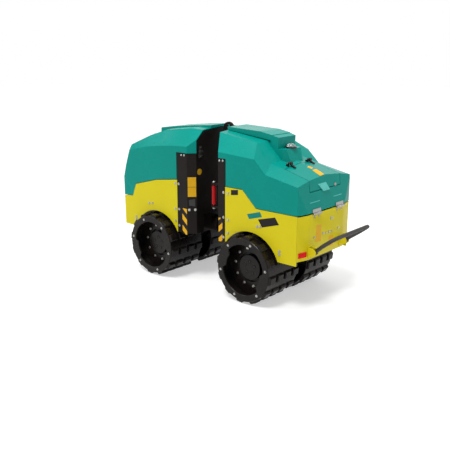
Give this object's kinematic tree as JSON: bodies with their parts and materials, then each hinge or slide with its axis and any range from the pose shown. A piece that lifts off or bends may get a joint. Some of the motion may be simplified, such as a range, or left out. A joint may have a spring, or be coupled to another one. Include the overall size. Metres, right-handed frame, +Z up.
{
  "type": "trench roller",
  "caption": "Articulated trench roller on padded drums, with hinged hoods, a stop bar, a lifting eye and a steering joint between its frames.",
  "frame": {"origin": "on the floor, at the middle of the machine's length and width", "axes": "+X towards the front, +Y to the machine's left, +Z up; the stop bar is at the rear, -X"},
  "size_m": [2.107, 0.85, 1.2729],
  "materials": {
    "yellow_panel": "semi-gloss yellow enamel",
    "teal_cover": "glossy teal moulded cover",
    "black_frame": "black enamel",
    "drum_steel": "dark glossy paint on cast steel",
    "bare_metal": "zinc-plated steel",
    "chromed_rod": "hard chrome",
    "rubber_bar": "ribbed black rubber",
    "dark_plastic": "matt black plastic",
    "clear_lens": "clear dome, slightly smoky",
    "red_enamel": "glossy red enamel",
    "red_reflector": "red reflector plastic",
    "latch_rubber": "black rubber draw latch",
    "engine_grey": "grey enamel on cast iron"
  },
  "bodies": {
    "rear_frame": {"rear_chassis": "black_frame", "rear_centre_frame": "black_frame", "rear_bulkhead": "black_frame", "rear_side_left": "yellow_panel", "rear_side_right": "yellow_panel", "rear_end_plate": "yellow_panel", "engine_block": "engine_grey", "bar_brackets": "yellow_panel", "rear_hood_hinges": "bare_metal", "lifting_eye": "black_frame", "lock_bar": "red_enamel", "rear_reflectors": "red_reflector"},
    "rear_hood": {"rear_hood_shell": "teal_cover", "rear_hinge_leaves": "bare_metal", "rear_dome_base": "dark_plastic", "rear_dome_lens": "clear_lens", "hatch_hinge_blocks": "black_frame"},
    "hatch": {"hatch_panel": "teal_cover", "hatch_latch": "teal_cover", "hatch_hinge_arms": "black_frame"},
    "stop_bar": {"stop_bar": "rubber_bar"},
    "yoke": {"yoke": "black_frame"},
    "front_frame": {"front_chassis": "black_frame", "front_centre_frame": "black_frame", "front_bulkhead": "black_frame", "front_side_left": "yellow_panel", "front_side_right": "yellow_panel", "front_end_plate": "yellow_panel", "front_latches": "latch_rubber", "front_hood_hinges": "bare_metal"},
    "front_hood": {"front_hood_shell": "teal_cover", "front_hinge_leaves": "bare_metal", "front_dome_base": "dark_plastic", "front_dome_lens": "clear_lens"},
    "cylinder_barrel": {"cylinder_barrel": "black_frame"},
    "cylinder_rod": {"cylinder_rod": "chromed_rod"},
    "rear_drum_left": {"rear_drum_left": "drum_steel", "rear_hub_left": "drum_steel"},
    "rear_drum_right": {"rear_drum_right": "drum_steel", "rear_hub_right": "drum_steel"},
    "front_drum_left": {"front_drum_left": "drum_steel", "front_hub_left": "drum_steel"},
    "front_drum_right": {"front_drum_right": "drum_steel", "front_hub_right": "drum_steel"}
  },
  "joints": [
    {"name": "steer", "type": "hinge", "parent": "rear_frame", "child": "yoke", "pos_m": [0.1195, 0, 0.425], "axis": [0, 0, 1], "range_deg": [-30, 30]},
    {"name": "oscillate", "type": "hinge", "parent": "yoke", "child": "front_frame", "pos_m": [0.1195, 0, 0.425], "axis": [1, 0, 0], "range_deg": [-8, 8]},
    {"name": "rear_hood_open", "type": "hinge", "parent": "rear_frame", "child": "rear_hood", "pos_m": [-0.8245, 0, 0.7125], "axis": [0, -1, 0], "range_deg": [0, 60]},
    {"name": "front_hood_open", "type": "hinge", "parent": "front_frame", "child": "front_hood", "pos_m": [1.0545, 0, 0.6085], "axis": [0, 1, 0], "range_deg": [0, 60]},
    {"name": "hatch_open", "type": "hinge", "parent": "rear_hood", "child": "hatch", "pos_m": [-0.5625, 0, 1.036], "axis": [0, 1, 0], "range_deg": [0, 70]},
    {"name": "stop_bar_swing", "type": "hinge", "parent": "rear_frame", "child": "stop_bar", "pos_m": [-0.8485, 0, 0.447], "axis": [0, 1, 0], "range_deg": [0, 14], "stiffness_Nm_per_rad": 20, "springref_deg": -5.73},
    {"name": "cylinder_swing", "type": "hinge", "parent": "rear_frame", "child": "cylinder_barrel", "pos_m": [-0.1165, 0.105, 0.482], "axis": [0, 0, 1], "range_deg": [-5, 5]},
    {"name": "cylinder_stroke", "type": "slide", "parent": "cylinder_barrel", "child": "cylinder_rod", "axis": [1, 0, 0], "range_m": [-0.056, 0.056]},
    {"name": "rear_drum_left_spin", "type": "hinge", "parent": "rear_frame", "child": "rear_drum_left", "pos_m": [-0.37425, 0, 0.26], "axis": [0, 1, 0], "continuous": true},
    {"name": "rear_drum_right_spin", "type": "hinge", "parent": "rear_frame", "child": "rear_drum_right", "pos_m": [-0.37425, 0, 0.26], "axis": [0, 1, 0], "continuous": true},
    {"name": "front_drum_left_spin", "type": "hinge", "parent": "front_frame", "child": "front_drum_left", "pos_m": [0.61325, 0, 0.26], "axis": [0, 1, 0], "continuous": true},
    {"name": "front_drum_right_spin", "type": "hinge", "parent": "front_frame", "child": "front_drum_right", "pos_m": [0.61325, 0, 0.26], "axis": [0, 1, 0], "continuous": true}
  ],
  "couplings": [
    {"joint": "cylinder_stroke", "follows": "steer", "m_per_rad": -0.0991},
    {"joint": "cylinder_swing", "follows": "steer", "ratio": -0.025}
  ]
}
